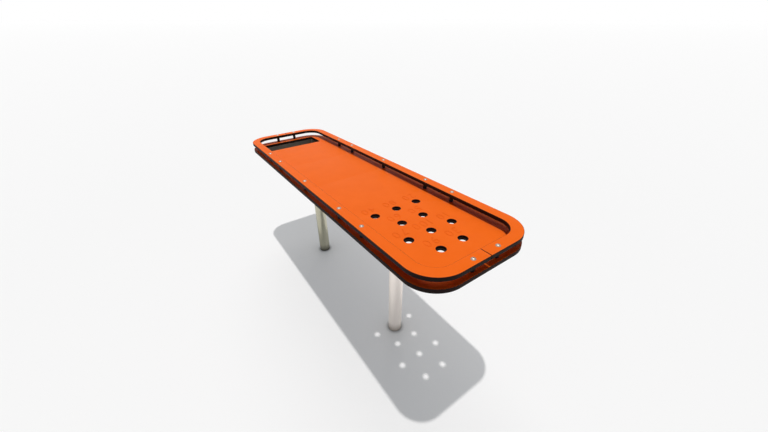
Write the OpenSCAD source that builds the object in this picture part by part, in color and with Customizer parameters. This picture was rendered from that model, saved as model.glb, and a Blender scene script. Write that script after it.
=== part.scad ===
// Japanese billiards table for outdoors: a sloping board with ten numbered holes,
// a rim held above it on spacers, a ball tray below its low end, and two round posts.
// The origin is on the ground under the middle of the table. +X points to the high end,
// where the holes are, and the player stands at the low end and looks along +X.

/* [Playing board] */
// Length of the board and of the rim above it
board_l = 2010; // [1900:10:2200]
// Width of the board and of the rim above it
board_w = 560; // [540:5:640]
// Thickness of the board
board_t = 18; // [16:1:24]
// Radius of the four outer corners
corner_r = 136; // [100:1:180]
// Height of the playing surface at mid length
board_h = 802; // [700:1:900]
// Rise of the board towards the high end, in degrees
slope = 2.45; // [0:0.05:4]

/* [Ball holes] */
// Diameter of a ball hole at the playing surface
hole_d = 41; // [36:0.5:46]
// Diameter of the narrower lower part of a ball hole
hole_low_d = 30; // [26:0.5:34]
// Depth of the wide upper part of a ball hole, down to the step that a ball rests on
hole_step_depth = 10; // [6:0.5:13]
// Distance from one row of holes to the next, and from hole to hole in a row
hole_pitch = 120; // [100:1:125]
// Distance from the high end to the last row of holes
hole_inset = 180; // [165:1:200]

/* [Ball slot] */
// Width of the slot, along the table
slot_w = 160; // [130:1:170]
// Length of the slot, across the table
slot_l = 384; // [340:2:390]
// Distance from the low end to the slot
slot_inset = 70; // [68:1:100]
// Radius of the slot's corners
slot_r = 8; // [4:1:15]

/* [Rim] */
// Width of the rim
rim_w = 51; // [44:1:54]
// Thickness of the rim
rim_t = 18; // [14:1:24]
// Open height between the board and the rim
rim_gap = 32; // [20:1:45]
// Gap of the joint between the two rim halves
rim_joint = 3; // [1:0.5:6]

/* [Rim fastenings] */
// Step of the rim bolts along the long sides
bolt_step = 190; // [160:1:200]
// Distance between the two rim bolts at each end
end_bolt_spacing = 130; // [80:1:180]
// Diameter of the rim bolts
bolt_d = 8; // [6:1:10]
// Diameter of the domed bolt heads
bolt_head_d = 20; // [16:0.5:24]
// Height of the domed bolt heads
bolt_head_h = 5.5; // [4:0.5:7]
// Width of the hexagon socket in a rim bolt
bolt_socket = 5; // [4:0.5:6]
// Outer diameter of the spacers
spacer_d = 20; // [16:1:26]
// Outer diameter of the washers below the board
washer_d = 24; // [18:1:28]
// Thickness of the washers below the board
washer_t = 2; // [1:0.5:3]
// Width across flats of the cap nuts
nut_af = 13; // [12:0.5:17]
// Height of the hexagon of a cap nut
nut_h = 8; // [6:0.5:10]

/* [Posts] */
// Outer diameter of the posts
post_d = 76.1; // [60:0.1:90]
// Wall thickness of the posts
post_wall = 3; // [2:0.1:5]
// Distance from the lowest row of ball holes to the high end's post
post_offset = 12; // [0:1:20]
// Distance from the low end of the board to the low end's post
low_post_inset = 541; // [500:1:600]

/* [Cross plates] */
// Width of a cross plate, along the table
plate_w = 120; // [116:1:130]
// Length of a cross plate, across the table
plate_l = 400; // [390:5:440]
// Thickness of a cross plate
plate_t = 8; // [6:1:12]
// Radius of the corners of a cross plate
plate_r = 12; // [5:1:20]
// Distance from the edges of a cross plate to its screws
plate_screw_inset = 20; // [16:1:22]
// Diameter of the screws that hold the cross plates
plate_screw_d = 8; // [6:1:10]
// Thickness of the washers below the cross plates
plate_washer_t = 1.6; // [1:0.2:2.4]

/* [Ball tray] */
// Depth of the tray below the board
tray_depth = 42; // [25:1:60]
// Sheet thickness of the tray
tray_t = 2; // [1.5:0.5:3]
// Width of the tray's flange
tray_flange = 22; // [20:1:25]
// Distance from the edge of the slot to the inner wall of the tray
tray_margin = 3; // [1:0.5:5]
// Diameter of the screws that hold the tray
tray_screw_d = 6; // [5:1:8]
// Width of the hexagon socket in a tray screw
tray_socket = 4; // [3:0.5:5]
// Thickness of the washers below the tray
tray_washer_t = 1.2; // [0.8:0.2:2]
// Distance from the slot's ends to the outer screws of the tray's long sides
tray_screw_inset = 42; // [30:1:60]
// Diameter of the drain holes in the tray
drain_d = 8; // [5:1:12]

/* [Inserts] */
// Wall thickness of the threaded inserts
insert_wall = 2; // [1.5:0.25:2.5]
// Thickness of the board left above the inserts
insert_cover = 5; // [4:0.5:7]
// Distance from the end of a screw to the end of its insert
screw_short = 1; // [0.5:0.5:3]

/* [Clearances] */
// Added to a bolt's diameter for the plain hole that it passes through
bolt_play = 1; // [0.4:0.1:2]
// Added to a bolt's or screw's diameter for the hole of its washer
washer_play = 0.5; // [0.3:0.1:1]
// Added to a screw's diameter for the thread that it turns in
thread_play = 0.2; // [0.1:0.05:0.4]
// Added to an insert's diameter for its hole in the board
insert_play = 0.2; // [0.1:0.05:0.4]
// Added to the ball holes where they go on through a cross plate
plate_hole_play = 3; // [1:0.5:8]

/* [Hidden] */

$fn = 64;
corner_fn = 128;
// Overlap of two solids that are joined, and how far a cutter reaches past a face
eps = 0.01;
over = 1;

// Proportions of standard fasteners, over the diameter or height that each goes with
washer_ratio = 2;
hex_head_af_ratio = 1.6;
hex_head_h_ratio = 0.66;
button_head_d_ratio = 1.75;
button_head_h_ratio = 0.55;
socket_depth_ratio = 0.55;
// A cap nut's dome is narrower than its hexagon. The bolt and the thread run on into it.
nut_dome_step = 1;
bolt_into_dome = 2;
thread_into_dome = 3;

// Colours
orange = [0.96, 0.42, 0.14];
black = [0.12, 0.11, 0.10];
steel = [0.72, 0.70, 0.67];
dark_steel = [0.40, 0.40, 0.38];
brass = [0.72, 0.58, 0.30];

// Heights in the sloping frame, in which the playing surface lies at 0
board_bottom = -board_t;
rim_bottom = rim_gap;
rim_top = rim_gap + rim_t;
plate_bottom = board_bottom - plate_t;
insert_top = -insert_cover;
stack_mid = (rim_top + board_bottom) / 2;
mid_h = board_h + stack_mid / cos(slope);

// Ball holes: rows of three and two in turn, from the lowest row up
row_counts = [3, 2, 3, 2];
row_last = len(row_counts) - 1;
function row_x(i) = board_l / 2 - hole_inset - (row_last - i) * hole_pitch;
hole_points = [for (i = [0 : row_last], k = [0 : row_counts[i] - 1])
    [row_x(i), (k - (row_counts[i] - 1) / 2) * hole_pitch]];

// Posts
high_post_x = row_x(0) + post_offset;
low_post_x = -board_l / 2 + low_post_inset;

// Slot and tray
slot_x = -board_l / 2 + slot_inset + slot_w / 2;
tray_in_w = slot_w + 2 * tray_margin;
tray_in_l = slot_l + 2 * tray_margin;
tray_out_w = tray_in_w + 2 * tray_t;
tray_out_l = tray_in_l + 2 * tray_t;
tray_r = slot_r + tray_margin;
flange_line_x = tray_out_w / 2 + tray_flange / 2;
flange_line_y = tray_out_l / 2 + tray_flange / 2;
tray_screw_y = slot_l / 2 - tray_screw_inset;
tray_screw_points = concat(
    [for (sx = [-1, 1], k = [-1, 0, 1]) [slot_x + sx * flange_line_x, k * tray_screw_y]],
    [for (sy = [-1, 1]) [slot_x, sy * flange_line_y]]);
drain_points = [for (sx = [-1, 1], sy = [-1, 1])
    [slot_x + sx * tray_in_w / 4, sy * tray_in_l / 3]];

// Rim bolts: a single one at mid length and a pair towards each end of a long side,
// and two across each end
rim_line_x = (board_l - rim_w) / 2;
rim_line_y = (board_w - rim_w) / 2;
bolt_steps = [-3, -2, 0, 2, 3];
rim_points = concat(
    [for (k = bolt_steps, s = [-1, 1]) [k * bolt_step, s * rim_line_y]],
    [for (sx = [-1, 1], sy = [-1, 1]) [sx * rim_line_x, sy * end_bolt_spacing / 2]]);
bolt_hole_d = bolt_d + bolt_play;
nut_dome_d = nut_af - nut_dome_step;
nut_bore_depth = nut_h + thread_into_dome;
bolt_end = board_bottom - washer_t - nut_h - bolt_into_dome;
bolt_socket_depth = bolt_head_h * socket_depth_ratio;

// Cross plates and what holds them
plate_inset_x = plate_w / 2 - plate_screw_inset;
plate_inset_y = plate_l / 2 - plate_screw_inset;
plate_screw_hole_d = plate_screw_d + bolt_play;
plate_washer_d = washer_ratio * plate_screw_d;
plate_head_af = hex_head_af_ratio * plate_screw_d;
plate_head_h = hex_head_h_ratio * plate_screw_d;
insert_l = board_t - insert_cover;
screw_end = insert_top - screw_short;
function plate_x(post_x) = (post_x - (stack_mid + board_t + plate_t / 2) * sin(slope)) / cos(slope);
function plate_screws_at(post_x) = [for (sx = [-1, 1], sy = [-1, 1])
    [plate_x(post_x) + sx * plate_inset_x, sy * plate_inset_y]];

tray_washer_d = washer_ratio * tray_screw_d;
tray_head_d = button_head_d_ratio * tray_screw_d;
tray_head_h = button_head_h_ratio * tray_screw_d;
tray_socket_depth = tray_head_h * socket_depth_ratio;

// Places its children in the sloping frame
module on_slope() {
    translate([0, 0, mid_h]) rotate([0, -slope, 0]) translate([0, 0, -stack_mid]) children();
}

// Rectangle with round corners, centred
module round_rect(l, w, r, fn = $fn) {
    square([l - 2 * r, w], center = true);
    square([l, w - 2 * r], center = true);
    for (sx = [-1, 1], sy = [-1, 1])
        translate([sx * (l / 2 - r), sy * (w / 2 - r)]) circle(r = r, $fn = fn);
}

// One child at each point of a list, at height z
module at_points(points, z = 0) {
    for (p = points) translate([p[0], p[1], z]) children();
}

// Drill of a given diameter that reaches from height low to height high
module drill(points, d, low, high) {
    at_points(points, low) cylinder(d = d, h = high - low);
}

module playing_board() {
    color(orange) on_slope() difference() {
        translate([0, 0, board_bottom]) linear_extrude(board_t)
            round_rect(board_l, board_w, corner_r, corner_fn);
        translate([slot_x, 0, board_bottom - over]) linear_extrude(board_t + 2 * over)
            round_rect(slot_w, slot_l, slot_r);
        drill(hole_points, hole_low_d, board_bottom - over, over);
        drill(hole_points, hole_d, -hole_step_depth, over);
        drill(rim_points, bolt_hole_d, board_bottom - over, over);
        for (x = [high_post_x, low_post_x])
            drill(plate_screws_at(x), plate_screw_d + 2 * insert_wall + insert_play,
                board_bottom - over, insert_top);
        drill(tray_screw_points, tray_screw_d + 2 * insert_wall + insert_play,
            board_bottom - over, insert_top);
    }
}

// Half of the rim, on the side of the table that side names: 1 for +Y, -1 for -Y
module rim_half(side) {
    color(orange) on_slope() difference() {
        translate([0, 0, rim_bottom]) linear_extrude(rim_t) difference() {
            round_rect(board_l, board_w, corner_r, corner_fn);
            round_rect(board_l - 2 * rim_w, board_w - 2 * rim_w, corner_r - rim_w, corner_fn);
            translate([-board_l, (side > 0 ? rim_joint / 2 - board_w : -rim_joint / 2)])
                square([2 * board_l, board_w]);
        }
        drill(rim_points, bolt_hole_d, rim_bottom - over, rim_top + over);
    }
}

module rim_left_half() { rim_half(1); }

module rim_right_half() { rim_half(-1); }

module rim_spacers() {
    color(black) on_slope() at_points(rim_points) difference() {
        cylinder(d = spacer_d, h = rim_gap);
        translate([0, 0, -over]) cylinder(d = bolt_hole_d, h = rim_gap + 2 * over);
    }
}

// Domed head with its flat side at height 0
module dome(d, h) {
    ball_r = (d * d / 4 + h * h) / (2 * h);
    intersection() {
        translate([0, 0, h - ball_r]) sphere(r = ball_r);
        cylinder(d = d + over, h = h + over);
    }
}

// Hexagon bar that stands on height 0, with its width across flats
module hexagon(af, h) {
    cylinder(d = af / cos(30), h = h, $fn = 6);
}

module rim_bolts() {
    color(steel) on_slope() at_points(rim_points) difference() {
        union() {
            translate([0, 0, rim_top]) dome(bolt_head_d, bolt_head_h);
            translate([0, 0, bolt_end]) cylinder(d = bolt_d, h = rim_top - bolt_end + eps);
        }
        translate([0, 0, rim_top + bolt_head_h - bolt_socket_depth]) hexagon(bolt_socket, bolt_head_h);
    }
}

module rim_washers() {
    color(steel) on_slope() at_points(rim_points, board_bottom - washer_t) difference() {
        cylinder(d = washer_d, h = washer_t);
        translate([0, 0, -over]) cylinder(d = bolt_d + washer_play, h = washer_t + 2 * over);
    }
}

module rim_cap_nuts() {
    color(steel) on_slope() at_points(rim_points, board_bottom - washer_t - nut_h) difference() {
        union() {
            hexagon(nut_af, nut_h);
            intersection() {
                sphere(d = nut_dome_d);
                translate([0, 0, -nut_dome_d]) cylinder(d = 2 * nut_dome_d, h = nut_dome_d + nut_h / 2);
            }
        }
        translate([0, 0, nut_h - nut_bore_depth])
            cylinder(d = bolt_d + thread_play, h = nut_bore_depth + over);
    }
}

// Upright tube from the ground to the underside of its cross plate
module post(x) {
    top = board_h + board_l * sin(slope);
    color(steel) difference() {
        translate([x, 0, 0]) cylinder(d = post_d, h = top, $fn = corner_fn);
        translate([x, 0, -over]) cylinder(d = post_d - 2 * post_wall, h = top + 2 * over, $fn = corner_fn);
        on_slope() translate([-board_l, -board_w, plate_bottom]) cube([2 * board_l, 2 * board_w, top]);
    }
}

module high_post() { post(high_post_x); }

module low_post() { post(low_post_x); }

// Flat bar across the underside of the board, on top of a post
module cross_plate(post_x) {
    color(dark_steel) on_slope() difference() {
        translate([plate_x(post_x), 0, plate_bottom]) linear_extrude(plate_t)
            round_rect(plate_w, plate_l, plate_r);
        drill(plate_screws_at(post_x), plate_screw_hole_d, plate_bottom - over, board_bottom + over);
        // The ball holes go on through the plate, except where the post closes them
        drill([for (p = hole_points) if (abs(p[1]) > post_d) p], hole_d + plate_hole_play,
            plate_bottom - over, board_bottom + over);
    }
}

module high_cross_plate() { cross_plate(high_post_x); }

module low_cross_plate() { cross_plate(low_post_x); }

module plate_screws(post_x) {
    under = plate_bottom - plate_washer_t;
    color(steel) on_slope() at_points(plate_screws_at(post_x)) union() {
        translate([0, 0, under - plate_head_h]) hexagon(plate_head_af, plate_head_h);
        translate([0, 0, under - eps]) cylinder(d = plate_screw_d, h = screw_end - under + eps);
    }
}

module plate_washers(post_x) {
    color(steel) on_slope() at_points(plate_screws_at(post_x), plate_bottom - plate_washer_t)
        difference() {
            cylinder(d = plate_washer_d, h = plate_washer_t);
            translate([0, 0, -over]) cylinder(d = plate_screw_d + washer_play, h = plate_washer_t + 2 * over);
        }
}

// Threaded sleeves that sit in blind holes in the underside of the board
module inserts(points, screw_d) {
    color(brass) on_slope() at_points(points, board_bottom) difference() {
        cylinder(d = screw_d + 2 * insert_wall, h = insert_l);
        translate([0, 0, -over]) cylinder(d = screw_d + thread_play, h = insert_l + 2 * over);
    }
}

module high_plate_screws() { plate_screws(high_post_x); }

module low_plate_screws() { plate_screws(low_post_x); }

module high_plate_washers() { plate_washers(high_post_x); }

module low_plate_washers() { plate_washers(low_post_x); }

module high_plate_inserts() { inserts(plate_screws_at(high_post_x), plate_screw_d); }

module low_plate_inserts() { inserts(plate_screws_at(low_post_x), plate_screw_d); }

// Folded sheet tray with a flange all round, below the slot
module ball_tray() {
    tray_h = tray_depth + tray_t;
    color(dark_steel) on_slope() difference() {
        union() {
            translate([slot_x, 0, board_bottom - tray_t]) linear_extrude(tray_t)
                round_rect(tray_out_w + 2 * tray_flange, tray_out_l + 2 * tray_flange, tray_r);
            translate([slot_x, 0, board_bottom - tray_h]) linear_extrude(tray_h - tray_t / 2)
                round_rect(tray_out_w, tray_out_l, tray_r + tray_t);
        }
        translate([slot_x, 0, board_bottom - tray_depth]) linear_extrude(tray_depth + over)
            round_rect(tray_in_w, tray_in_l, tray_r);
        drill(tray_screw_points, tray_screw_d + bolt_play, board_bottom - tray_t - over, board_bottom + over);
        drill(drain_points, drain_d, board_bottom - tray_h - over, board_bottom);
    }
}

module tray_screws() {
    under = board_bottom - tray_t - tray_washer_t;
    color(steel) on_slope() at_points(tray_screw_points) difference() {
        union() {
            translate([0, 0, under]) rotate([180, 0, 0]) dome(tray_head_d, tray_head_h);
            translate([0, 0, under - eps]) cylinder(d = tray_screw_d, h = screw_end - under + eps);
        }
        translate([0, 0, under - tray_head_h - over]) hexagon(tray_socket, tray_socket_depth + over);
    }
}

module tray_washers() {
    color(steel) on_slope() at_points(tray_screw_points, board_bottom - tray_t - tray_washer_t)
        difference() {
            cylinder(d = tray_washer_d, h = tray_washer_t);
            translate([0, 0, -over]) cylinder(d = tray_screw_d + washer_play, h = tray_washer_t + 2 * over);
        }
}

module tray_inserts() { inserts(tray_screw_points, tray_screw_d); }

playing_board();
rim_left_half();
rim_right_half();
rim_spacers();
rim_bolts();
rim_washers();
rim_cap_nuts();
high_post();
low_post();
high_cross_plate();
low_cross_plate();
high_plate_screws();
low_plate_screws();
high_plate_washers();
low_plate_washers();
high_plate_inserts();
low_plate_inserts();
ball_tray();
tray_screws();
tray_washers();
tray_inserts();
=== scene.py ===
import math

import bpy
import numpy as np
from mathutils import Matrix
from mathutils.geometry import delaunay_2d_cdt


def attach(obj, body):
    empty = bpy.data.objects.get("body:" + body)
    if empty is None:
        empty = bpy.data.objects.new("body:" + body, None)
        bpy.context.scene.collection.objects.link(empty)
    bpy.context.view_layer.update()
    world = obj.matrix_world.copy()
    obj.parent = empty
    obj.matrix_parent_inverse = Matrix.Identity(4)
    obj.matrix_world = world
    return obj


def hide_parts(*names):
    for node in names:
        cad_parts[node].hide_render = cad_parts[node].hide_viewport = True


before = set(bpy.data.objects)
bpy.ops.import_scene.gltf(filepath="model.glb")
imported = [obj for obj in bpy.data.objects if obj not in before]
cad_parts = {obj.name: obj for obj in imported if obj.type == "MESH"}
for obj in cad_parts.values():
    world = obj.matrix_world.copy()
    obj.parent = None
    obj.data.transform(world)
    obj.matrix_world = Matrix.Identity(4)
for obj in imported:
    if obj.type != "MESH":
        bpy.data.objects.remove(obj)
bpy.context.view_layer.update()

BODY = "root"


def srgb(red, green, blue):
    """A colour given as it looks on screen, from 0 to 255, as linear light with alpha."""
    c = np.array([red, green, blue]) / 255
    linear = np.where(c <= 0.04045, c / 12.92, ((c + 0.055) / 1.055) ** 2.4)
    return (*map(float, linear), 1.0)


# Driving sizes in metres, as in the part's source
BOARD_L = 2.010
BOARD_W = 0.560
BOARD_T = 0.018
CORNER_R = 0.136
BOARD_H = 0.802
SLOPE = math.radians(2.45)
HOLE_D = 0.041
HOLE_LOW_D = 0.030
HOLE_STEP_DEPTH = 0.010
HOLE_PITCH = 0.120
HOLE_INSET = 0.180
SLOT_W = 0.160
SLOT_L = 0.384
SLOT_INSET = 0.070
SLOT_R = 0.008
RIM_W = 0.051
RIM_T = 0.018
RIM_GAP = 0.032
RIM_JOINT = 0.003
BOLT_STEP = 0.190
BOLT_STEPS = (-3, -2, 0, 2, 3)
END_BOLT_SPACING = 0.130
BOLT_HOLE_D = 0.009
POST_D = 0.0761
POST_OFFSET = 0.012
LOW_POST_INSET = 0.541
PLATE_T = 0.008

# Heights in the sloping frame, in which the playing surface lies at 0
RIM_TOP = RIM_GAP + RIM_T
STACK_MID = (RIM_TOP - BOARD_T) / 2
PLATE_BOTTOM = -BOARD_T - PLATE_T
MID_H = BOARD_H + STACK_MID / math.cos(SLOPE)
ON_SLOPE = (Matrix.Translation((0, 0, MID_H)) @ Matrix.Rotation(-SLOPE, 4, "Y")
            @ Matrix.Translation((0, 0, -STACK_MID)))

# The scores beside the holes, row by row from the low end up, each row from +Y to -Y
SCORES = (("20", "80", "40"), ("50", "60"), ("10", "100", "70"), ("30", "90"))
DIGIT_H = 0.046
DIGIT_PITCH = 0.040
ONE_PITCH = 0.026
SCORE_DISTANCE = 0.057
SCORE_DEPTH = 0.0009

# Rounded edges of the boards, which cut through the coloured layer into the core
EDGE_R = 0.0012

# Faces that meet at more than this angle show a sharp edge
SHARP = math.radians(50)

# Weld between each post and its plate
WELD_LEG = 0.005
WELD_POWER = 1.5
WELD_BEADS = 40
WELD_RIPPLE = 0.0004

# Straight steps that stand for each curve: a quarter turn of an edge, of a board's corner and of the
# slot's corner, a whole ball hole and bolt hole, a stretch of a digit, a bead and a weld's profile
EDGE_STEPS = 4
CORNER_STEPS = 32
SLOT_CORNER_STEPS = 8
HOLE_STEPS = 64
BOLT_HOLE_STEPS = 24
DIGIT_STEPS = 5
BEAD_STEPS = 8
WELD_STEPS = 6

# How the triangles between outlines are made: none outside them, and points this close are one
INSIDE_ONLY = 1
SAME_POINT = 1e-9

# Layers of ever finer patches in a noise pattern, and the part of its values that is made use of
NOISE_DETAIL = 3.0
NOISE_RANGE = (0.3, 0.7)

# Height over which a post is painted darker towards the ground, as painted shade at its foot
FOOT_SHADE_H = 0.06

# The photograph's camera
CAMERA_PLACE = (1.4767, -0.7877, 1.5793)
CAMERA_TURN = (math.radians(58.03), 0.0, math.radians(54.70))
CAMERA_LENS = 14.80
SENSOR_W = 36.0

# Light on a surface that faces up: one lamp straight above, a wide soft one from the low end's +Y side
# and a fill from all over the sky. Together they give 1.
TOP_LIGHT = 0.72
TOP_ANGLE = math.radians(1.35)
SOFT_LIGHT = 0.15
SOFT_ANGLE = math.radians(35)
SOFT_AZIMUTH = math.radians(155)
SOFT_ELEVATION = math.radians(50)
FILL = 0.13

# The floor's size, its paleness from the table to far away, and how much of it glows
FLOOR_SIZE = 2000.0
FLOOR_NEAR = 6.0
FLOOR_Z = -0.0002
FLOOR_PALE = np.array(srgb(247, 247, 247))[:3]
FLOOR_FAR = np.array(srgb(255, 255, 255))[:3]
FLOOR_PALE_R = 2.5
FLOOR_FAR_R = 200.0
FLOOR_GLOW = np.array([0.322, 0.336, 0.349])
FLOOR_BOUNCE = srgb(100, 100, 100)
FLOOR_ROUGHNESS = 0.95
BLACK = srgb(0, 0, 0)

# Painted shadow on the floor: a dark ring round the foot of each post, and a wide soft one round it
SHADOW_RING_R = 0.022
SHADOW_RING_OPEN = (0.5, 1.0)
SHADOW_RING_DARK = 0.35
SHADOW_HALO_R = 0.5
SHADOW_HALO_OPEN = (0.75, 0.97)
SHADOW_HALO_DARK = 0.76


class Nodes:
    """A material's node tree, with short calls to add and join its nodes."""

    def __init__(self, name):
        self.material = bpy.data.materials.new(name)
        self.material.use_nodes = True
        self.tree = self.material.node_tree
        self.shader = self.tree.nodes["Principled BSDF"]
        self.place = self.tree.nodes.new("ShaderNodeTexCoord").outputs["Object"]

    def set(self, **sockets):
        for name, value in sockets.items():
            self.shader.inputs[name.replace("_", " ")].default_value = value

    def join(self, source, target):
        self.tree.links.new(source, target)

    def noise(self, scale, stretch):
        """Soft random pattern, with scale in patches per metre."""
        mapping = self.tree.nodes.new("ShaderNodeMapping")
        mapping.inputs["Scale"].default_value = stretch
        self.join(self.place, mapping.inputs["Vector"])
        noise = self.tree.nodes.new("ShaderNodeTexNoise")
        noise.inputs["Scale"].default_value = scale
        noise.inputs["Detail"].default_value = NOISE_DETAIL
        self.join(mapping.outputs["Vector"], noise.inputs["Vector"])
        return noise.outputs["Fac"]

    def spread(self, value, start, end, low, high):
        """A value between start and end moved to between low and high."""
        remap = self.tree.nodes.new("ShaderNodeMapRange")
        remap.inputs["From Min"].default_value = start
        remap.inputs["From Max"].default_value = end
        remap.inputs["To Min"].default_value = low
        remap.inputs["To Max"].default_value = high
        self.join(value, remap.inputs["Value"])
        return remap.outputs["Result"]

    def blend(self, value, first, second):
        """A mix by a value from 0 to 1. Each colour is a tuple or another node's output."""
        mix = self.tree.nodes.new("ShaderNodeMix")
        mix.data_type = "RGBA"
        for name, colour in (("A", first), ("B", second)):
            if isinstance(colour, tuple):
                mix.inputs[name].default_value = colour
            else:
                self.join(colour, mix.inputs[name])
        self.join(value, mix.inputs["Factor"])
        return mix.outputs["Result"]

    def openness(self, reach, start, end, dark):
        """How little of the sky is hidden by anything within reach: dark at start, 1 from end up."""
        open_sky = self.tree.nodes.new("ShaderNodeAmbientOcclusion")
        open_sky.inputs["Distance"].default_value = reach
        return self.spread(open_sky.outputs["AO"], start, end, dark, 1)

    def bump(self, height, depth):
        """Surface relief of a given depth in metres."""
        bump = self.tree.nodes.new("ShaderNodeBump")
        bump.inputs["Strength"].default_value = 1.0
        bump.inputs["Distance"].default_value = depth
        self.join(height, bump.inputs["Height"])
        self.join(bump.outputs["Normal"], self.shader.inputs["Normal"])


def grained(name, first, second, roughness, grain, depth, stretch=(1, 1, 1), cloud=14, foot=None,
            **sockets):
    """A finish with a cloudy change between two colours, a fine grain and an uneven gloss.

    cloud and grain are patches per metre, multiplied along each axis by stretch. depth is the grain's
    relief in metres, and foot the colour that the finish is painted towards the ground, as painted shade.
    """
    nodes = Nodes(name)
    nodes.set(**sockets)
    clouds = nodes.spread(nodes.noise(cloud, stretch), *NOISE_RANGE, 0, 1)
    colour = nodes.blend(clouds, first, second)
    # Painted shade: the colour turns to the foot colour towards the ground
    if foot:
        height = nodes.tree.nodes.new("ShaderNodeSeparateXYZ")
        nodes.join(nodes.place, height.inputs["Vector"])
        colour = nodes.blend(nodes.spread(height.outputs["Z"], 0, FOOT_SHADE_H, 0, 1), foot, colour)
    nodes.join(colour, nodes.shader.inputs["Base Color"])
    fine = nodes.noise(grain, stretch)
    nodes.join(nodes.spread(fine, *NOISE_RANGE, *roughness), nodes.shader.inputs["Roughness"])
    nodes.bump(fine, depth)
    return nodes.material


# Coloured top layer of the boards
ORANGE_TOP = grained(
    "orange_laminate", srgb(241, 105, 22), srgb(238, 102, 18), roughness=(0.42, 0.52), grain=1400,
    depth=0.00002, Specular_IOR_Level=0.06)

# The same layer where the scores are milled into it
ORANGE_MILLED = grained(
    "orange_milled", srgb(238, 102, 24), srgb(230, 97, 20), roughness=(0.55, 0.65), grain=2500,
    depth=0.00004, Specular_IOR_Level=0.05)

# Underside of the boards and rim: a darker copy of the orange layer, painted shade that darkens the gap
# under the rim
ORANGE_BACK_PAINTED_SHADE = grained(
    "orange_back_painted_shade", srgb(166, 70, 14), srgb(160, 66, 12), roughness=(0.50, 0.60), grain=1400,
    depth=0.00002, Specular_IOR_Level=0.10)

# Core of the boards, which shows at every cut edge
BLACK_CORE = grained(
    "black_core", srgb(34, 20, 17), srgb(38, 24, 20), roughness=(0.55, 0.70), grain=900,
    depth=0.00004, Specular_IOR_Level=0.1)

# Spacers between board and rim
BLACK_NYLON = grained(
    "black_nylon", srgb(22, 21, 21), srgb(28, 27, 26), roughness=(0.45, 0.58), grain=1500,
    depth=0.00003, Specular_IOR_Level=0.2)

# Bolts, screws, nuts and washers
STAINLESS = grained(
    "stainless", srgb(156, 147, 136), srgb(147, 138, 128), roughness=(0.38, 0.48), grain=600,
    depth=0.00001, Metallic=1.0)

# High post, brushed along its length, its steel painted nearly white as painted light
BRUSHED_TUBE_PAINTED_LIGHT = grained(
    "brushed_tube_painted_light", srgb(251, 243, 236), srgb(246, 238, 231), roughness=(0.44, 0.52), grain=260,
    depth=0.00001, stretch=(6, 6, 0.6), cloud=5, foot=srgb(196, 186, 176), Metallic=1.0)

# Low post, smoother than the high one, the same steel painted darker and greener as painted shade and
# reflection
TUBE_PAINTED_SHADE = grained(
    "tube_painted_shade", srgb(192, 189, 170), srgb(176, 173, 152), roughness=(0.20, 0.28), grain=260,
    depth=0.00001, stretch=(6, 6, 0.6), cloud=5, foot=srgb(96, 93, 84), Metallic=1.0)

# Welds on top of the posts
WELD_METAL = grained(
    "weld", srgb(176, 168, 158), srgb(150, 140, 128), roughness=(0.35, 0.55), grain=900,
    depth=0.00005, Metallic=1.0)

# Cross plates
DULL_STEEL = grained(
    "dull_steel", srgb(170, 168, 164), srgb(150, 148, 145), roughness=(0.42, 0.58), grain=500,
    depth=0.00003, Metallic=1.0)

# Ball tray: steel painted darker than the cross plates, as painted shade inside the slot
FOLDED_SHEET_PAINTED_SHADE = grained(
    "folded_sheet_painted_shade", srgb(140, 134, 126), srgb(130, 124, 117), roughness=(0.42, 0.58), grain=500,
    depth=0.00003, Metallic=1.0)

# Threaded sleeves in the board's underside
TURNED_BRASS = grained(
    "turned_brass", srgb(200, 160, 92), srgb(186, 148, 84), roughness=(0.28, 0.38), grain=800,
    depth=0.00001, Metallic=1.0)


def piece(name, points, faces, materials, smooth, material_index=0):
    """A piece of the object from world points and faces. smooth marks the faces shaded smooth."""
    mesh = bpy.data.meshes.new(name)
    mesh.from_pydata(points.tolist(), [], faces)
    for material in materials:
        mesh.materials.append(material)
    count = len(mesh.polygons)
    mesh.polygons.foreach_set("use_smooth", np.full(count, smooth, bool))
    mesh.polygons.foreach_set("material_index", np.full(count, material_index, np.int32))
    mesh.set_sharp_from_angle(angle=SHARP)
    mesh.update()
    made = bpy.data.objects.new(name, mesh)
    bpy.context.scene.collection.objects.link(made)
    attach(made, BODY)
    return made


def lifted(points):
    """Points of the sloping frame in the world."""
    turn = np.array(ON_SLOPE)
    return points @ turn[:3, :3].T + turn[:3, 3]


def arc(centre, radius, start, end, steps):
    """Points of an arc from start to end, in degrees, both ends included."""
    angle = np.radians(np.linspace(start, end, steps + 1))
    return np.stack([centre[0] + radius * np.cos(angle), centre[1] + radius * np.sin(angle)], 1)


def circle(centre, diameter, steps):
    """A hole's outline: a full circle, clockwise."""
    return arc(centre, diameter / 2, 0, -360, steps)[:-1]


def round_rect(length, width, radius, centre=(0, 0), steps=CORNER_STEPS):
    """A rectangle with round corners, counter-clockwise."""
    corners = ((1, 1, 0), (-1, 1, 90), (-1, -1, 180), (1, -1, 270))
    return np.concatenate([
        arc((centre[0] + x * (length / 2 - radius), centre[1] + y * (width / 2 - radius)),
            radius, start, start + 90, steps)
        for x, y, start in corners])


def inside(points, outlines):
    """Which points lie inside: a ray to the right crosses the outlines an odd number of times."""
    starts = np.concatenate(outlines)
    ends = np.concatenate([np.roll(outline, -1, 0) for outline in outlines])
    x = points[:, 0, None]
    y = points[:, 1, None]
    rise = ends[:, 1] - starts[:, 1]
    run = ends[:, 0] - starts[:, 0]
    spans = (starts[:, 1] > y) != (ends[:, 1] > y)
    crossing = starts[:, 0] + run * (y - starts[:, 1]) / np.where(rise == 0, 1, rise)
    return (spans & (crossing > x)).sum(1) % 2 == 1


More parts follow.
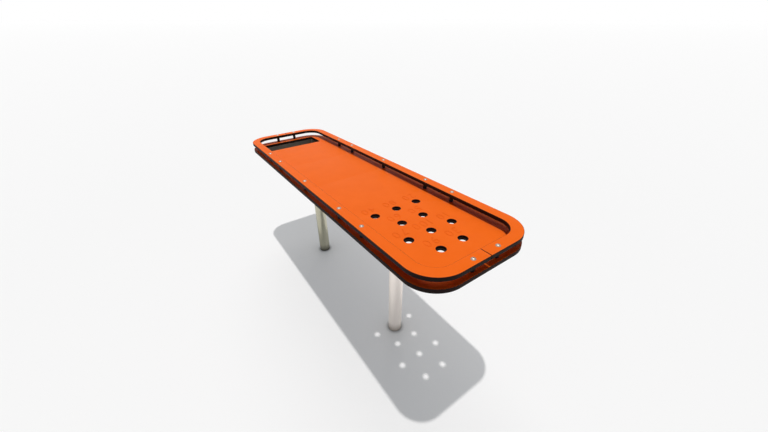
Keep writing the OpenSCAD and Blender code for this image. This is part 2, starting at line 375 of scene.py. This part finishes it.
def ring_edges(outlines):
    """Pairs of point numbers that go round each outline in turn."""
    starts = np.cumsum([0] + [len(outline) for outline in outlines])
    index = [start + np.arange(len(outline)) for start, outline in zip(starts, outlines)]
    return np.concatenate([np.stack([i, np.roll(i, -1)], 1) for i in index])


def fill(outlines):
    """Delaunay triangles, as point numbers, that keep to the outlines, and their centres."""
    points = np.concatenate(outlines)
    edges = ring_edges(outlines).tolist()
    made = delaunay_2d_cdt(points.tolist(), edges, [], INSIDE_ONLY, SAME_POINT)
    source = np.array([origin[0] for origin in made[3]])
    triangles = source[np.array(made[2])]
    return triangles, points[triangles].mean(1)


def side(outlines, insets, heights):
    """Points and faces of a profile carried round outlines that have the solid on their left.

    At each step of the profile, every outline moves towards its solid by the inset and lies at the
    height.
    """
    points = np.concatenate(outlines)
    along = np.concatenate([np.roll(outline, -1, 0) - np.roll(outline, 1, 0) for outline in outlines])
    along /= np.linalg.norm(along, axis=1, keepdims=True)
    outward = np.stack([along[:, 1], -along[:, 0]], 1)
    plan = points[None] - np.asarray(insets)[:, None, None] * outward[None]
    z = np.broadcast_to(np.asarray(heights)[:, None, None], (*plan.shape[:2], 1))
    ring = ring_edges(outlines)
    upper = ring[None] + np.arange(len(insets) - 1)[:, None, None] * len(points)
    lower = upper + len(points)
    quads = np.stack([upper[..., 0], lower[..., 0], lower[..., 1], upper[..., 1]], -1)
    return np.concatenate([plan, z], 2), quads


def edge_profile(low, high, step=0.0, step_depth=0.0):
    """Insets and heights of a board's edge, from the top down.

    It is a quarter circle, a straight wall and a quarter circle. Where there is a step, the wall
    moves out from its solid by the step at that depth.
    """
    turn = np.radians(np.linspace(90, 0, EDGE_STEPS + 1))
    inset = EDGE_R * (1 - np.cos(turn))
    drop = EDGE_R * (1 - np.sin(turn))
    ledge = [0.0, -step] if step else []
    insets = np.concatenate([inset, ledge, inset[::-1] - step])
    heights = np.concatenate([high - drop, [high - step_depth] * len(ledge), low + drop[::-1]])
    return insets, heights


def walls(edges):
    """Points and wall faces of every edge, and for each edge its highest and lowest outlines.

    These outlines come with the numbers of their points. An edge is a list of outlines and the
    profile carried round them.
    """
    points = []
    quads = []
    ends = []
    first = 0
    for outlines, (insets, heights) in edges:
        rings, faces = side(outlines, insets, heights)
        cuts = np.cumsum([len(outline) for outline in outlines])[:-1]
        number = first + np.arange(rings[..., 0].size).reshape(rings.shape[:2])
        points.append(rings.reshape(-1, 3))
        quads.append(first + faces.reshape(-1, 4))
        ends.append([(np.split(rings[ring, :, :2], cuts), number[ring]) for ring in (0, -1)])
        first += number.size
    return points, quads, ends


def cover(ends):
    """Triangles between the outlines of all these ends of edges, and the triangles' centres."""
    triangles, centres = fill(sum([outlines for outlines, _ in ends], []))
    return np.concatenate([number for _, number in ends])[triangles], centres


def sheet(name, edges, scores=()):
    """A sheet of laminate with the edges that are given.

    The faces between the outlines are Delaunay triangles, on top and below. Each score is a pocket
    with straight walls, milled into the top.
    """
    count = len(edges)
    if scores:
        high = edges[0][1][1][0]
        edges = [*edges, (scores, ((0, 0), (high, high - SCORE_DEPTH)))]
    points, quads, ends = walls(edges)
    tops, centres = cover([top for top, _ in ends])
    borders = sum([top[0] for top, _ in ends[:count]], [])
    in_score = inside(centres, scores) if scores else np.zeros(len(centres), bool)
    # The points of the scores' floors follow those of their rims
    floors = tops[in_score] + sum(map(len, scores))
    tops = tops[inside(centres, borders) & ~in_score]
    bottoms, centres = cover([bottom for _, bottom in ends[:count]])
    borders = sum([bottom[0] for _, bottom in ends[:count]], [])
    bottoms = bottoms[inside(centres, borders)][:, ::-1]
    wall_counts = [sum(map(len, quads[:count])), sum(map(len, quads[count:]))]
    materials = [ORANGE_TOP, BLACK_CORE, ORANGE_MILLED, ORANGE_BACK_PAINTED_SHADE]
    # In turn: the edges' walls, the scores' walls, the top, the scores' floors and the back, which
    # carries painted shade
    material = np.repeat([1, 2, 0, 2, 3], wall_counts + [len(tops), len(floors), len(bottoms)])
    smooth = np.repeat([True, False], [wall_counts[0], len(material) - wall_counts[0]])
    faces = np.concatenate(quads).tolist() + np.concatenate([tops, floors, bottoms]).tolist()
    return piece(name, lifted(np.concatenate(points)), faces, materials, smooth, material)


def hole_rows():
    """The ball holes' centres, row by row from the lowest up, each row from +Y to -Y."""
    lowest = BOARD_L / 2 - HOLE_INSET - (len(SCORES) - 1) * HOLE_PITCH
    return [[(lowest + row * HOLE_PITCH, ((len(scores) - 1) / 2 - k) * HOLE_PITCH)
             for k in range(len(scores))] for row, scores in enumerate(SCORES)]


def bolt_places():
    """The rim bolts' centres: five along each long side and two across each end."""
    sides = [(k * BOLT_STEP, s * (BOARD_W - RIM_W) / 2) for k in BOLT_STEPS for s in (-1, 1)]
    ends = [(x * (BOARD_L - RIM_W) / 2, s * END_BOLT_SPACING / 2) for x in (-1, 1) for s in (-1, 1)]
    return sides + ends


def drawn_digit(digit):
    """A digit's outlines as the built-in plain type draws it.

    Every stretch between two points a and d with handles b and c is the curve
    (1-t)^3 a + 3 (1-t)^2 t b + 3 (1-t) t^2 c + t^3 d.
    """
    t = np.linspace(0, 1, DIGIT_STEPS + 1)[:-1]
    weights = np.stack([(1 - t) ** 3, 3 * (1 - t) ** 2 * t, 3 * (1 - t) * t ** 2, t ** 3])
    text = bpy.data.curves.new("digit", "FONT")
    text.body = digit
    carrier = bpy.data.objects.new("digit", text)
    bpy.context.scene.collection.objects.link(carrier)
    bpy.context.view_layer.update()
    loops = []
    for spline in carrier.to_curve(bpy.context.evaluated_depsgraph_get()).splines:
        a, left, right = (np.array([getattr(p, key)[:2] for p in spline.bezier_points])
                          for key in ("co", "handle_left", "handle_right"))
        corners = np.stack([a, right, np.roll(left, -1, 0), np.roll(a, -1, 0)])
        loops.append(np.einsum("kt,knc->ntc", weights, corners).reshape(-1, 2))
    carrier.to_curve_clear()
    bpy.data.objects.remove(carrier)
    return loops


def solid_on_left(loops):
    """A digit's outlines as pockets need them: clockwise outside, and the other way round islands."""
    turned = []
    for k, loop in enumerate(loops):
        others = loops[:k] + loops[k + 1:]
        island = bool(others) and bool(inside(loop[:1], others)[0])
        x, y = loop.T
        area = np.sum(x * np.roll(y, -1) - y * np.roll(x, -1))
        turned.append(loop if (area > 0) == island else loop[::-1])
    return turned


def digit_outlines():
    """Every digit's outlines, as high as a score, with the digit's middle at 0."""
    digits = {digit: drawn_digit(digit) for digit in "0123456789"}
    zero = np.concatenate(digits["0"])
    scale = DIGIT_H / np.ptp(zero[:, 1])
    middle_y = (zero[:, 1].min() + zero[:, 1].max()) / 2
    made = {}
    for digit, loops in digits.items():
        x = np.concatenate(loops)[:, 0]
        middle = ((x.min() + x.max()) / 2, middle_y)
        made[digit] = [(loop - middle) * scale for loop in solid_on_left(loops)]
    return made


def score_outlines():
    """The outlines of every score, read from the low end: right is -Y and up is +X."""
    digits = digit_outlines()
    made = []
    for places, scores in zip(hole_rows(), SCORES):
        for (x, y), score in zip(places, scores):
            pitches = [ONE_PITCH if digit == "1" else DIGIT_PITCH for digit in score]
            centres = np.cumsum(pitches) - np.array(pitches) / 2 - sum(pitches) / 2
            for digit, right in zip(score, centres):
                for loop in digits[digit]:
                    made.append(np.stack([x - SCORE_DISTANCE + loop[:, 1], y - right - loop[:, 0]], 1))
    return made


def playing_board():
    """The board, with its slot, its stepped ball holes, its bolt holes and the scores."""
    slot_centre = (-BOARD_L / 2 + SLOT_INSET + SLOT_W / 2, 0)
    slot = round_rect(SLOT_W, SLOT_L, SLOT_R, slot_centre, SLOT_CORNER_STEPS)[::-1]
    plain = [round_rect(BOARD_L, BOARD_W, CORNER_R), slot]
    plain += [circle(place, BOLT_HOLE_D, BOLT_HOLE_STEPS) for place in bolt_places()]
    holes = [circle(place, HOLE_D, HOLE_STEPS) for row in hole_rows() for place in row]
    stepped = edge_profile(-BOARD_T, 0, (HOLE_D - HOLE_LOW_D) / 2, HOLE_STEP_DEPTH)
    edges = [(plain, edge_profile(-BOARD_T, 0)), (holes, stepped)]
    made = sheet("board_with_scores", edges, score_outlines())
    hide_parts("playing_board")


def rim_line(length, width, radius):
    """The +Y half of a rectangle with round corners, from the joint at +X to the one at -X."""
    whole = round_rect(length, width, radius)
    high, low = ([[x * length / 2, RIM_JOINT / 2]] for x in (1, -1))
    return np.concatenate([high, whole[whole[:, 1] > 0], low])


def rim_half(name, node, side_y):
    """Half of the rim, on the side of the table that side_y names: 1 for +Y, -1 for -Y."""
    outer = rim_line(BOARD_L, BOARD_W, CORNER_R)
    inner = rim_line(BOARD_L - 2 * RIM_W, BOARD_W - 2 * RIM_W, CORNER_R - RIM_W)
    outline = np.concatenate([outer, inner[::-1]])
    if side_y < 0:
        outline = outline[::-1] * (1, -1)
    bolts = [circle(place, BOLT_HOLE_D, BOLT_HOLE_STEPS)
             for place in bolt_places() if place[1] * side_y > 0]
    made = sheet(name, [([outline] + bolts, edge_profile(RIM_GAP, RIM_TOP))])
    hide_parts(node)


def weld(name, centre_x):
    """The weld round a post's top, on the sloping underside of its plate.

    Its profile is the post's wall, the plate and a swollen line between them, carried round the post.
    With p for WELD_POWER, the line lies leg * sin(t)^p out from the wall and leg * cos(t)^p down from
    the plate. The leg grows and shrinks with a cosine, once for each bead.
    """
    angle = np.linspace(0, 2 * np.pi, BEAD_STEPS * WELD_BEADS, endpoint=False)[:, None]
    swell = np.radians(np.linspace(0, 90, WELD_STEPS + 1))
    leg = WELD_LEG + WELD_RIPPLE * np.cos(WELD_BEADS * angle)
    corner = np.zeros_like(angle)
    out = np.concatenate([leg * np.sin(swell) ** WELD_POWER, corner], 1)
    down = np.concatenate([leg * np.cos(swell) ** WELD_POWER, corner], 1)
    x = centre_x + (POST_D / 2 + out) * np.cos(angle)
    y = (POST_D / 2 + out) * np.sin(angle)
    plate_z = MID_H + (PLATE_BOTTOM - STACK_MID) / math.cos(SLOPE) + x * math.tan(SLOPE)
    points = np.stack([x, y, plate_z - down], 2)
    number = np.arange(out.size).reshape(out.shape)
    after = np.roll(number, -1, 0)
    quads = np.stack([number, after, np.roll(after, -1, 1), np.roll(number, -1, 1)], -1)
    piece(name, points.reshape(-1, 3), quads.reshape(-1, 4).tolist(), [WELD_METAL], True)


def dress_nodes():
    """Gives each carried-over CAD node its finish."""
    finishes = {
        BLACK_NYLON: ("rim_spacers",),
        STAINLESS: ("rim_bolts", "rim_washers", "rim_cap_nuts", "high_plate_screws", "low_plate_screws",
                    "high_plate_washers", "low_plate_washers", "tray_screws", "tray_washers"),
        BRUSHED_TUBE_PAINTED_LIGHT: ("high_post",),
        TUBE_PAINTED_SHADE: ("low_post",),
        DULL_STEEL: ("high_cross_plate", "low_cross_plate"),
        FOLDED_SHEET_PAINTED_SHADE: ("ball_tray",),
        TURNED_BRASS: ("high_plate_inserts", "low_plate_inserts", "tray_inserts"),
    }
    for material, names in finishes.items():
        for name in names:
            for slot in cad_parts[name].material_slots:
                slot.material = material


def math_node(tree, operation, first, second):
    """One step of arithmetic. Each input is another node's output or a number."""
    node = tree.nodes.new("ShaderNodeMath")
    node.operation = operation
    for socket, value in zip(node.inputs, (first, second)):
        if isinstance(value, float):
            socket.default_value = value
        else:
            tree.links.new(value, socket)
    return node.outputs["Value"]


def seen_rays(tree):
    """1 for the rays by which the camera, metal and glass see a backdrop, 0 for the others."""
    path = tree.nodes.new("ShaderNodeLightPath")
    gloss = math_node(tree, "MAXIMUM", path.outputs["Is Glossy Ray"], path.outputs["Is Transmission Ray"])
    return math_node(tree, "MAXIMUM", path.outputs["Is Camera Ray"], gloss)


def floor_paint():
    """The floor's pale paint.

    It gets paler with the logarithm of the distance from the table. Part of its paleness glows, so
    that the shadow on it stays as light as in a bright room, and it throws less light up than it
    shows. Next to the posts' feet, both the paint and the glow are darkened by a painted shadow.
    """
    paint = Nodes("floor_paint")
    seen = seen_rays(paint.tree)
    distance = paint.tree.nodes.new("ShaderNodeVectorMath")
    distance.operation = "LENGTH"
    paint.join(paint.place, distance.inputs[0])
    decades = math_node(paint.tree, "LOGARITHM", distance.outputs["Value"], 10.0)
    away = paint.spread(decades, math.log10(FLOOR_PALE_R), math.log10(FLOOR_FAR_R), 0, 1)
    lit = paint.blend(away, (*(FLOOR_PALE - FLOOR_GLOW), 1.0), (*(FLOOR_FAR - FLOOR_GLOW), 1.0))
    # Painted shadow round each post's foot, on both the paint and the glow
    ring = paint.openness(SHADOW_RING_R, *SHADOW_RING_OPEN, SHADOW_RING_DARK)
    shadow_halo = paint.openness(SHADOW_HALO_R, *SHADOW_HALO_OPEN, SHADOW_HALO_DARK)
    open_part = math_node(paint.tree, "MULTIPLY", ring, shadow_halo)
    colour = paint.blend(seen, FLOOR_BOUNCE, paint.blend(open_part, BLACK, lit))
    glow = math_node(paint.tree, "MULTIPLY", seen, open_part)
    paint.join(colour, paint.shader.inputs["Base Color"])
    paint.join(glow, paint.shader.inputs["Emission Strength"])
    paint.set(Roughness=FLOOR_ROUGHNESS, Specular_IOR_Level=0.0, Emission_Color=(*FLOOR_GLOW, 1.0))
    return paint.material


def floor():
    """A wide flat floor of nine rectangles, with a small one below the table.

    A single large one would show its diagonal as a thin line.
    """
    steps = np.array([-FLOOR_SIZE / 2, -FLOOR_NEAR, FLOOR_NEAR, FLOOR_SIZE / 2])
    x, y = np.meshgrid(steps, steps, indexing="ij")
    points = np.stack([x, y, np.full_like(x, FLOOR_Z)], -1).reshape(-1, 3)
    number = np.arange(x.size).reshape(x.shape)
    quads = np.stack([number[:-1, :-1], number[1:, :-1], number[1:, 1:], number[:-1, 1:]], -1)
    mesh = bpy.data.meshes.new("floor")
    mesh.from_pydata(points.tolist(), [], quads.reshape(-1, 4).tolist())
    mesh.materials.append(floor_paint())
    made = bpy.data.objects.new("floor", mesh)
    bpy.context.scene.collection.objects.link(made)


def lamp(name, strength, angle, azimuth, elevation):
    """A distant lamp. Its strength is the light that it gives to a surface that faces up."""
    data = bpy.data.lights.new(name, "SUN")
    data.energy = strength * math.pi / math.sin(elevation)
    data.angle = angle
    made = bpy.data.objects.new(name, data)
    made.rotation_euler = (0, math.pi / 2 - elevation, azimuth)
    bpy.context.scene.collection.objects.link(made)


def sky():
    """A fill of 2 * FILL * z * z, where z is the height of the direction that it comes from.

    What the camera, metal and glass see of it is plain white.
    """
    world = bpy.data.worlds.new("studio")
    bpy.context.scene.world = world
    world.use_nodes = True
    tree = world.node_tree
    direction = tree.nodes.new("ShaderNodeTexCoord").outputs["Generated"]
    parts = tree.nodes.new("ShaderNodeSeparateXYZ")
    tree.links.new(direction, parts.inputs["Vector"])
    height = math_node(tree, "MULTIPLY", parts.outputs["Z"], parts.outputs["Z"])
    strength = tree.nodes.new("ShaderNodeMix")
    strength.inputs["B"].default_value = 1.0
    tree.links.new(seen_rays(tree), strength.inputs["Factor"])
    tree.links.new(math_node(tree, "MULTIPLY", height, 2 * FILL), strength.inputs["A"])
    background = tree.nodes["Background"]
    background.inputs["Color"].default_value = (1, 1, 1, 1)
    tree.links.new(strength.outputs["Result"], background.inputs["Strength"])


def camera():
    """The photograph's view."""
    data = bpy.data.cameras.new("camera")
    data.sensor_width = SENSOR_W
    data.lens = CAMERA_LENS
    made = bpy.data.objects.new("camera", data)
    made.location = CAMERA_PLACE
    made.rotation_euler = CAMERA_TURN
    bpy.context.scene.collection.objects.link(made)
    bpy.context.scene.camera = made


playing_board()
rim_half("rim_left_with_core_edges", "rim_left_half", 1)
rim_half("rim_right_with_core_edges", "rim_right_half", -1)
weld("high_post_weld", hole_rows()[0][0][0] + POST_OFFSET)
weld("low_post_weld", -BOARD_L / 2 + LOW_POST_INSET)
dress_nodes()
floor()
lamp("top_light", TOP_LIGHT, TOP_ANGLE, 0, math.pi / 2)
lamp("soft_light", SOFT_LIGHT, SOFT_ANGLE, SOFT_AZIMUTH, SOFT_ELEVATION)
sky()
camera()
bpy.context.scene.view_settings.view_transform = "Standard"
